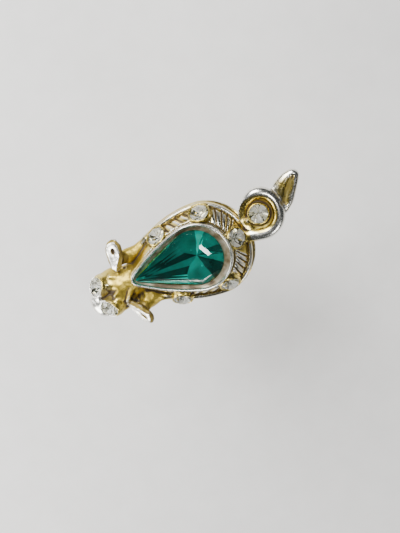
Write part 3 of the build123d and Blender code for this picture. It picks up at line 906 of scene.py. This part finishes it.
class Shader:
    """A material's nodes, made one at a time."""

    def __init__(self, name):
        self.material = bpy.data.materials.new(name)
        self.material.use_nodes = True
        self.tree = self.material.node_tree

    def node(self, kind, inputs, output, **settings):
        """Makes a node, fills its inputs and gives one of its outputs."""
        node = self.tree.nodes.new(kind)
        for key, value in settings.items():
            setattr(node, key, value)
        self.fill(node, inputs)
        return node.outputs[output]

    def fill(self, node, inputs):
        for key, value in inputs.items():
            socket = node.inputs[key]
            if isinstance(value, bpy.types.NodeSocket):
                self.tree.links.new(value, socket)
            elif isinstance(value, tuple) and len(value) == 3 and socket.type == "RGBA":
                socket.default_value = (*value, 1)
            else:
                socket.default_value = value

    def attribute(self, name):
        return self.node("ShaderNodeAttribute", {}, "Fac", attribute_name=name)

    def where(self):
        """Place on the piece, in metres."""
        return self.node("ShaderNodeTexCoord", {}, "Object")

    def noise(self, scale, detail=3.0, rough=0.55, vector=None):
        inputs = {"Vector": vector or self.where(), "Scale": scale, "Detail": detail, "Roughness": rough}
        return self.node("ShaderNodeTexNoise", inputs, "Fac")

    def ramp(self, value, low, high, to_low=0.0, to_high=1.0):
        inputs = {"Value": value, "From Min": low, "From Max": high, "To Min": to_low, "To Max": to_high}
        return self.node("ShaderNodeMapRange", inputs, "Result")

    def add(self, a, b):
        return self.node("ShaderNodeMath", {0: a, 1: b}, 0, operation="ADD", use_clamp=True)

    def mix(self, factor, a, b):
        return self.node("ShaderNodeMix", {"Factor": factor, 6: a, 7: b}, 2, data_type="RGBA")

    def bump(self, height, strength, distance):
        inputs = {"Height": height, "Strength": strength, "Distance": distance * MM}
        return self.node("ShaderNodeBump", inputs, "Normal")

    def surface(self, inputs):
        """Fills the surface's own inputs and gives the material."""
        self.fill(self.tree.nodes["Principled BSDF"], inputs)
        return self.material


GOLD = (0.56, 0.41, 0.07)
PALE_GOLD = (0.66, 0.55, 0.19)
DEEP_GOLD = (0.47, 0.34, 0.045)
NICKEL = (0.78, 0.77, 0.71)
BROWN = (0.050, 0.030, 0.010)


def plated_metal():
    """Gold plate, worn to nickel or lightened as a painted highlight where painted, dull brown in the
    hollows and where shade is painted.
    """
    s = Shader("gold_plate_wear_and_painted_light")
    patch = s.noise(900, 4)
    fine = s.noise(5200, 3)
    matt = s.attribute("matt")
    wear_and_highlight = s.add(s.attribute("wear_and_highlight"), s.ramp(patch, 0.3, 0.7, -0.16, 0.16))
    wear_and_highlight = s.ramp(wear_and_highlight, 0.3, 0.75)
    tarnish_and_shade = s.add(s.attribute("tarnish_and_shade"), s.ramp(patch, 0.35, 0.65, 0.12, -0.12))
    tarnish_and_shade = s.ramp(tarnish_and_shade, 0.12, 0.75)
    gold = s.mix(s.ramp(patch, 0.3, 0.7), GOLD, PALE_GOLD)
    gold = s.mix(s.ramp(matt, 0, 1, 0.0, 0.85), gold, DEEP_GOLD)
    rough = s.add(s.ramp(fine, 0.3, 0.7, 0.17, 0.30), s.ramp(tarnish_and_shade, 0, 1, 0.0, 0.25))
    chased = s.ramp(matt, 0, 1, 0.08, 0.9)
    return s.surface({
        "Base Color": s.mix(tarnish_and_shade, s.mix(wear_and_highlight, gold, NICKEL), BROWN),
        "Metallic": s.ramp(tarnish_and_shade, 0.2, 1.0, 1.0, 0.35),
        "Roughness": s.add(rough, s.ramp(matt, 0, 1, 0.0, 0.16)),
        "Normal": s.bump(s.add(s.noise(3400, 3), fine), chased, 0.045),
    })


def turned_metal(name, bright, dull, rings, rough):
    """Turned or drawn metal: fine rings round the axis, patches, small scratches."""
    s = Shader(name)
    stretched = s.node("ShaderNodeMapping", {"Vector": s.where(), "Scale": (0.06, 0.06, 1.0)}, "Vector")
    line = s.noise(rings, 2, 0.5, stretched)
    colour = s.mix(s.ramp(s.noise(420, 4), 0.3, 0.7), bright, dull)
    return s.surface({
        "Base Color": s.mix(s.ramp(line, 0.62, 0.8, 0.0, 0.35), colour, BROWN),
        "Metallic": 1.0,
        "Roughness": s.ramp(s.noise(2400, 3), 0.3, 0.7, rough, rough + 0.16),
        "Normal": s.bump(line, 0.25, 0.02),
    })


def cut_glass(name, colour, deep):
    """The front of a stone: clear coloured glass."""
    s = Shader(name)
    return s.surface({
        "Base Color": s.mix(s.ramp(s.noise(500, 2), 0.35, 0.65), colour, deep),
        "Transmission Weight": 1.0,
        "IOR": 1.56,
        "Roughness": s.ramp(s.noise(3000, 3), 0.3, 0.75, 0.0, 0.05),
        "Normal": s.bump(s.noise(1600, 2), 0.05, 0.02),
    })


def foil(name, colour, metallic, rough=0.16):
    """The back of a stone: foil seen through the glass."""
    s = Shader(name)
    shade = tuple(0.72 * c for c in colour)
    return s.surface({
        "Base Color": s.mix(s.ramp(s.noise(900, 3), 0.35, 0.65), colour, shade),
        "Metallic": metallic,
        "Roughness": s.ramp(s.noise(1500, 3), 0.3, 0.7, rough, rough + 0.12),
    })


def floor_paper():
    s = Shader("paper")
    tone = s.mix(s.ramp(s.noise(300, 3), 0.3, 0.7), (0.80, 0.79, 0.77), (0.76, 0.75, 0.73))
    return s.surface({"Base Color": tone, "Roughness": 0.7})


def dress(piece, *materials):
    for material in materials:
        piece.data.materials.append(material)


# --- wear, tarnish, and painted highlights and shade on the casting ---


def tail_masks(x, y, z):
    """The crest of the curl, the slope inside it, the flick, and the flick's edges and end."""
    r = np.hypot(x - TAIL_STONE[0], y - TAIL_STONE[1])
    tail = above(x, 6.9, 0.4) * (z > 0.2)
    crest = between(r, 1.9, 3.1, 0.25) * tail
    slope = between(r, 1.25, 2.2, 0.2) * tail
    flick = above(r, 2.75, 0.1) * (x > 9.5)
    u, v, _ = to_local(x, y, z, TAIL_TIP_MIDDLE, TAIL_TIP_AXES)
    side = np.clip(np.abs(v) / 0.6 - 0.3, 0, 1)
    edge = flick * np.clip(above(u, 1.2, 0.5) + side, 0, 1)
    return crest, slope, flick, edge


def ear_masks(x, y, z, normal):
    """The flat fronts of the ears, which take a painted highlight, fainter in their slots, and the rest of
    the ears, which take painted shade.
    """
    face = np.zeros(len(x))
    rest = np.zeros(len(x))
    for foot, tip, facing, slot in EARS:
        middle, half, axes = ear_frame(foot, tip, facing)
        u, v, w = to_local(x, y, z, middle, axes)
        inside = ((u / half) ** 2 + (v / EAR_HALF_WIDTH) ** 2 < 1.35) & (u > -half * 0.9)
        flat = (normal @ axes[2] > 0.85) & (np.abs(v) < ear_face_width(u, half) + 0.05)
        front = inside & (w > 0) & flat
        face = np.maximum(face, front)
        rest = np.maximum(rest, inside & (w > -1) & ~front)
        in_slot = np.hypot((u - 0.3 * half) / slot[0], v / slot[1]) < 1.1
        face = np.where(front & in_slot, 0.2, face)
    return face, rest


def cup_rims(x, y, z):
    """The rims of the cups round the round stones."""
    rims = np.zeros(len(x))
    for middle, facing in ROUND_STONES.values():
        u, v, w = to_local(x, y, z, middle, local_axes(facing))
        rims = np.maximum(rims, between(np.hypot(u, v), 0, CUP_R + 0.15, 0.1) * between(w, -0.6, 0.6, 0.2))
    return rims


def paint_casting(casting, points, quads):
    """Stores where the casting is worn or has a painted highlight, where it is tarnished or has painted
    shade, and where it is matt.
    """
    x, y, z = points.T
    near, normal = relief(points, quads, 6)
    far, _ = relief(points, quads, 40)
    crest, slope, flick, flick_edge = tail_masks(x, y, z)
    ear_face, ear_shade = ear_masks(x, y, z, normal)
    rims = cup_rims(x, y, z)
    forward, aside, _ = to_local(x, y, z, HEAD_MIDDLE, HEAD_AXES)
    snout = above(forward, 1.5, 1.0)
    between_eyes = between(forward, 0.4, 2.6, 0.4) * between(aside, -1.1, 0.8, 0.3)
    neck = between(x, -9.5, -4.2, 0.8) * (1 - ear_face)
    share = skirt_share(x, y)
    on_skirt = between(share, 0.05, 0.99, 0.04) * between(x, -5.5, 7.5, 0.3) * (z > 0.9) * (z < 2.6)
    # the flutes and darts get a painted highlight where they stand up and a painted shadow in their
    # grooves
    lift = flute_height(x, y, share) / 0.15 * on_skirt
    flute_highlight = np.clip(lift, 0, 1)
    flute_shadow = np.clip(-lift, 0, 1)

    # wear on the raised parts, the curl's crest and the flick's edges, and a painted highlight on the ear
    # fronts, the snout and the raised flutes and darts
    wear_and_highlight = 0.18 + 0.5 * np.clip(near / 0.035, -0.6, 1) + 0.35 * np.clip(far / 0.2, -0.6, 1)
    wear_and_highlight += 0.55 * crest - 0.3 * slope + 0.5 * flick_edge - 0.3 * flick + 0.9 * ear_face
    wear_and_highlight += snout - (0.35 * neck + 0.7 * rims) * (1 - snout) + 0.35 * flute_highlight
    # darker in the hollows and between the eyes, with painted shade on the backs and sides of the ears and
    # in the grooves of the flutes and darts
    tarnish_and_shade = 0.7 * np.clip(-near / 0.03, 0, 1) + 0.7 * np.clip(-far / 0.18, 0, 1)
    tarnish_and_shade += 0.4 * between_eyes + 0.1 * neck * (1 - snout) - 0.1 * slope + 0.15 * rims
    tarnish_and_shade += 0.4 * ear_shade - 0.8 * ear_face - 0.4 * snout + 0.7 * flute_shadow - 0.35 * flute_highlight
    paint(casting, "wear_and_highlight", wear_and_highlight)
    paint(casting, "tarnish_and_shade", tarnish_and_shade)
    paint(casting, "matt", np.maximum(neck * (1 - 0.7 * snout), 0.45 * ear_face))


# --- the collar ---

# its section: the way in from its outline and the height, up the outside and over
# the lip, then down the inner slope as a share of the way from the lip to the stone
COLLAR_FOOT_Z = 2.46
LIP_WIDTH = 0.31
COLLAR_LIP = [
    (0.0, COLLAR_FOOT_Z), (0.0, 3.05), (0.02, 3.17), (0.07, 3.26),
    (0.14, 3.3), (0.21, 3.27), (0.26, 3.19), (0.29, 3.08),
]
COLLAR_SLOPE = [(0.03, 3.0), (0.4, 2.93), (0.8, 2.88), (1.0, 2.85), (1.0, 2.6), (0.5, COLLAR_FOOT_Z)]


def make_collar():
    outer = pear_points(COLLAR_OUTLINE, 360)
    # the stone's outline, with its radii larger by a little room
    inner = pear_points(np.add(STONE_OUTLINE, (0, SEAT_ROOM, 0, SEAT_ROOM, SEAT_ROOM)), 360)
    toward = np.roll(outer, -1, 0) - np.roll(outer, 1, 0)
    inward = np.stack([-toward[:, 1], toward[:, 0]], 1) / np.linalg.norm(toward, axis=1)[:, None]
    rings = []
    for o, i, n in zip(outer, inner, inward):
        edge = o + n * LIP_WIDTH
        ring = [(*(o + n * d), z) for d, z in COLLAR_LIP]
        ring += [(*(edge + (i - edge) * share), z) for share, z in COLLAR_SLOPE]
        rings.append(ring)
    collar = smooth_piece("collar", *ring_mesh(rings), "tack", "collar", "bezel_collar")
    # each vertex's place in the section: the foot, the lip, the slope and what is under it
    place = np.tile(np.arange(len(rings[0])), len(rings))
    foot = place == 0
    lip = (place > 0) & (place < len(COLLAR_LIP))
    slope = (place >= len(COLLAR_LIP)) & (place < len(COLLAR_LIP) + 4)
    # the lip is worn to nickel; a painted shadow darkens the inner slope down to the stone, and painted
    # shade the foot where it meets the casting
    paint(collar, "wear_and_highlight", np.where(lip, 0.85, 0.5))
    paint(collar, "matt", np.zeros(len(place)))
    paint(collar, "tarnish_and_shade", np.where(slope, 0.66, np.where(foot, 0.6, 0.05)))
    return collar


# --- the cap and the spring ---

# outlines of turned pieces stop this far from the axis
AXIS_R = 0.001
KNURLS = 32
KNURL_DEPTH = 0.11
# the grooves' ends, above the cap's foot and below its rim
KNURL_FOOT = 0.7
KNURL_RIM = 0.3
CAP_BORE_R = 3.3
CAP_FLOOR = 0.4
SPRING_WIRE_R = 0.1
SPRING_TURNS = 5
SPRING_CLOSED_TURNS = 0.8
SPRING_STEPS = 200
SPRING_SIDES = 10


def make_cap(low, high):
    """The pull cap: a cup whose sleeve is knurled."""

    def knurl(angle, r, z):
        if r < high.x - 0.12:
            return 0.0
        zone = float(between(z, low.z + KNURL_FOOT, high.z - KNURL_RIM, 0.12))
        wave = 0.5 + 0.5 * math.cos(KNURLS * angle)
        return KNURL_DEPTH * zone * wave**2

    floor_z = low.z + CAP_FLOOR
    corners = [
        (AXIS_R, low.z), (high.x, low.z), (high.x, high.z),
        (CAP_BORE_R, high.z), (CAP_BORE_R, floor_z), (AXIS_R, floor_z),
    ]
    sparse = rounded(corners, 0.22)
    outline = []
    for a, b in zip(sparse, np.roll(sparse, -1, 0)):
        steps = max(1, int(np.linalg.norm(b - a) / 0.12))
        outline += [a + (b - a) * t / steps for t in range(steps)]
    return lathe("cap", outline, "plunger", "cap", "pull_cap", KNURLS * 8, knurl)


def make_spring(radius, low, high):
    """A wire coiled about Z, its first and last turns closed up."""
    ends = [0, SPRING_CLOSED_TURNS, SPRING_TURNS - SPRING_CLOSED_TURNS, SPRING_TURNS]
    heights = [low, low + 2 * SPRING_WIRE_R, high - 2 * SPRING_WIRE_R, high]
    up = np.array([0, 0, 1.0])
    rings = []
    for turned in np.linspace(0, SPRING_TURNS, SPRING_STEPS + 1):
        angle = 2 * math.pi * turned
        out = np.array([math.cos(angle), math.sin(angle), 0])
        middle = out * radius + up * np.interp(turned, ends, heights)
        sides = [2 * math.pi * j / SPRING_SIDES for j in range(SPRING_SIDES)]
        rings.append([middle + SPRING_WIRE_R * (out * math.cos(t) + up * math.sin(t)) for t in sides])
    points, faces = ring_mesh(rings)
    # the tube's two ends are closed, not joined to each other
    last = SPRING_STEPS * SPRING_SIDES
    faces = [f for f in faces if not (max(f) >= last and min(f) < SPRING_SIDES)]
    faces.append(tuple(range(SPRING_SIDES)))
    faces.append(tuple(range(last + SPRING_SIDES - 1, last - 1, -1)))
    return smooth_piece("spring", points, faces, "clutch", "spring", "clutch_spring")


# --- the casting, the collar and the stones ---

points, quads = surface_nets(cast_mouse())
casting = smooth_piece("casting", points, quads, "tack", "casting", "mouse_casting")
paint_casting(casting, points, quads)
collar = make_collar()
pear = cut_gem(
    "pear_gem", pear_points(STONE_OUTLINE, 96), GIRDLE_Z - PAVILION, GIRDLE_Z + GIRDLE_THICKNESS + CROWN,
    pear_crown() + pear_back(), Matrix.Identity(4), "pear_stone",
)
circle = [np.multiply(ROUND_R, level(360 * i / 32)) for i in range(32)]
round_gems = []
for name, (middle, facing) in ROUND_STONES.items():
    place = Matrix(local_axes(facing)).transposed().to_4x4()
    place.translation = Vector(middle)
    gem = cut_gem(
        name + "_gem", circle, -ROUND_PAVILION, ROUND_CROWN, round_planes(), place,
        name + "_rhinestone",
    )
    round_gems.append(gem)

# --- the post and the clutch, turned as in the CAD ---

_, pad_high = (Vector(c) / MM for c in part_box("post_pad"))
post_low, post_high = (Vector(c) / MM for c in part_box("post"))
shell_low, shell_high = (Vector(c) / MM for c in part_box("clutch_shell"))
cap_low, cap_high = (Vector(c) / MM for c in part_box("pull_cap"))
spring_low, spring_high = (Vector(c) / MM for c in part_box("clutch_spring"))
PAD_HOLE_R = 0.45
STAKE_R = 0.44
SHOULDER_Z = -2.1
POST_R = 0.575
POINT_R = 0.06
POINT_LENGTH = 1.2
HOLE_R = 0.72
BARREL_R = 3.2
BARREL_BORE_R = 2.85
MOUTH_R = 2.5
MOUTH_LIP = 0.3
FLANGE_LOW = shell_high.z - 0.45

pad_corners = [(PAD_HOLE_R, 0), (pad_high.x, 0), (pad_high.x, pad_high.z), (PAD_HOLE_R, pad_high.z)]
pad = lathe("pad", rounded(pad_corners, 0.08), "tack", "pad", "post_pad")
post_corners = [
    (AXIS_R, pad_high.z), (STAKE_R, pad_high.z), (STAKE_R, 0),
    (post_high.x, 0), (post_high.x, SHOULDER_Z), (POST_R, SHOULDER_Z),
    (POST_R, post_low.z + POINT_LENGTH), (POINT_R, post_low.z), (AXIS_R, post_low.z),
]
post = lathe("post_pin", rounded(post_corners, 0.05), "tack", "post", "post", 48)
shell_corners = [
    (HOLE_R, shell_high.z), (shell_high.x, shell_high.z), (shell_high.x, FLANGE_LOW),
    (BARREL_R, FLANGE_LOW), (BARREL_R, shell_low.z), (MOUTH_R, shell_low.z),
    (MOUTH_R, shell_low.z + MOUTH_LIP), (BARREL_BORE_R, shell_low.z + MOUTH_LIP),
    (BARREL_BORE_R, FLANGE_LOW), (HOLE_R, FLANGE_LOW),
]
shell = lathe("clutch_body", rounded(shell_corners, 0.16), "clutch", "clutch", "clutch_shell", 128)
cap = make_cap(cap_low, cap_high)
spring = make_spring(
    spring_high.x - SPRING_WIRE_R, spring_low.z + SPRING_WIRE_R, spring_high.z - SPRING_WIRE_R
)
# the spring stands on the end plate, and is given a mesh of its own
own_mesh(spring)

# --- materials on the pieces ---

# each stone's foil comes in three copies, darker, mid and lighter, to paint shade and light onto its back
# facets
dress(
    pear,
    cut_glass("emerald_glass", (0.42, 0.93, 0.86), (0.34, 0.88, 0.80)),
    foil("emerald_foil_painted_shade", (0.001, 0.075, 0.065), 0.6),
    foil("emerald_foil_painted_half_light", (0.003, 0.28, 0.235), 0.5),
    foil("emerald_foil_painted_light", (0.06, 0.85, 0.72), 0.4),
)
rhinestone = (
    cut_glass("clear_glass", (0.99, 0.99, 0.97), (0.96, 0.97, 0.95)),
    foil("silver_foil_painted_shade", (0.86, 0.83, 0.66), 1.0, 0.03),
    foil("silver_foil_painted_half_light", (1.0, 0.98, 0.86), 0.6, 0.15),
    foil("silver_foil_painted_light", (1.0, 1.0, 0.95), 0.35, 0.4),
)
for gem in round_gems:
    dress(gem, *rhinestone)
plate = plated_metal()
gilt = turned_metal("gilt_brass", (0.66, 0.50, 0.15), (0.58, 0.42, 0.11), 9000, 0.16)
satin = turned_metal("satin_gilt", (0.62, 0.46, 0.15), (0.52, 0.38, 0.11), 12000, 0.30)
wire = turned_metal("gilt_steel", (0.72, 0.66, 0.52), (0.60, 0.55, 0.44), 15000, 0.22)
ground = turned_metal("ground_steel", (0.62, 0.63, 0.65), (0.50, 0.51, 0.53), 15000, 0.12)
for finish, *pieces in (
    (plate, casting, collar),
    (satin, pad, nodes["ball_cage"]),
    (wire, post, spring),
    (gilt, shell, cap, nodes["wedge_cone"], nodes["end_plate"]),
    (ground, nodes["ball_1"], nodes["ball_2"], nodes["ball_3"]),
):
    for piece in pieces:
        piece.data.materials.clear()
        dress(piece, finish)

# --- stage, light and camera ---

# the floor is low enough to leave room for the clutch when it has slid off the post
CLUTCH_TRAVEL = 12.0
low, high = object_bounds()
bpy.ops.mesh.primitive_plane_add(size=1.2, location=(0, 0, low[2] - CLUTCH_TRAVEL * MM))
floor = bpy.context.object
floor.name = "floor"
dress(floor, floor_paper())


def area_light(name, place, size, power, colour=(1, 1, 1)):
    """A square light that faces the tack's origin."""
    light = bpy.data.lights.new(name, "AREA")
    light.size = size * MM
    light.energy = power
    light.color = colour
    obj = bpy.data.objects.new(name, light)
    obj.location = Vector(place) * MM
    obj.rotation_euler = (-obj.location).to_track_quat("-Z", "Y").to_euler()
    bpy.context.scene.collection.objects.link(obj)


area_light("key", (-18, 108, 98), 84, 0.42)
area_light("spark", (33, 4, 131), 18, 0.05)
area_light("front", (-125, -62, 42), 70, 0.25, (1.0, 0.99, 0.97))
area_light("nose", (-122, 46, 38), 70, 0.16)
area_light("side", (40, -120, 70), 40, 0.06)
world = bpy.data.worlds.new("world")
world.use_nodes = True
world.node_tree.nodes["Background"].inputs[0].default_value = (0.9, 0.95, 1.0, 1)
world.node_tree.nodes["Background"].inputs[1].default_value = 0.06
bpy.context.scene.world = world

cam = bpy.data.cameras.new("camera")
cam.lens = 85
cam.sensor_fit = "VERTICAL"
cam.sensor_height = 36
cam.clip_start = 0.001
camera = bpy.data.objects.new("camera", cam)
bpy.context.scene.collection.objects.link(camera)
bpy.context.scene.camera = camera
CAMERA_DISTANCE = 138.0
CAMERA_TILT = 18.0
CAMERA_AZIMUTH = 45.0
AXIS_ANGLE = math.radians(20.0)
# the point that the camera faces, from the tack's origin to image right and up
AIM_RIGHT = 0.90
AIM_UP = -1.45
view_from = outward(CAMERA_AZIMUTH, CAMERA_TILT)
# image right and up, so that the tack's +X shows at AXIS_ANGLE above image right
x_flat = np.array([1.0, 0, 0]) - view_from * view_from[0]
x_flat /= np.linalg.norm(x_flat)
y_flat = np.cross(view_from, x_flat)
right = x_flat * math.cos(AXIS_ANGLE) - y_flat * math.sin(AXIS_ANGLE)
up = x_flat * math.sin(AXIS_ANGLE) + y_flat * math.cos(AXIS_ANGLE)
aim = right * AIM_RIGHT + up * AIM_UP
turn = Matrix((right, up, view_from)).transposed().to_4x4()
camera.matrix_world = Matrix.Translation(Vector((aim + view_from * CAMERA_DISTANCE) * MM)) @ turn
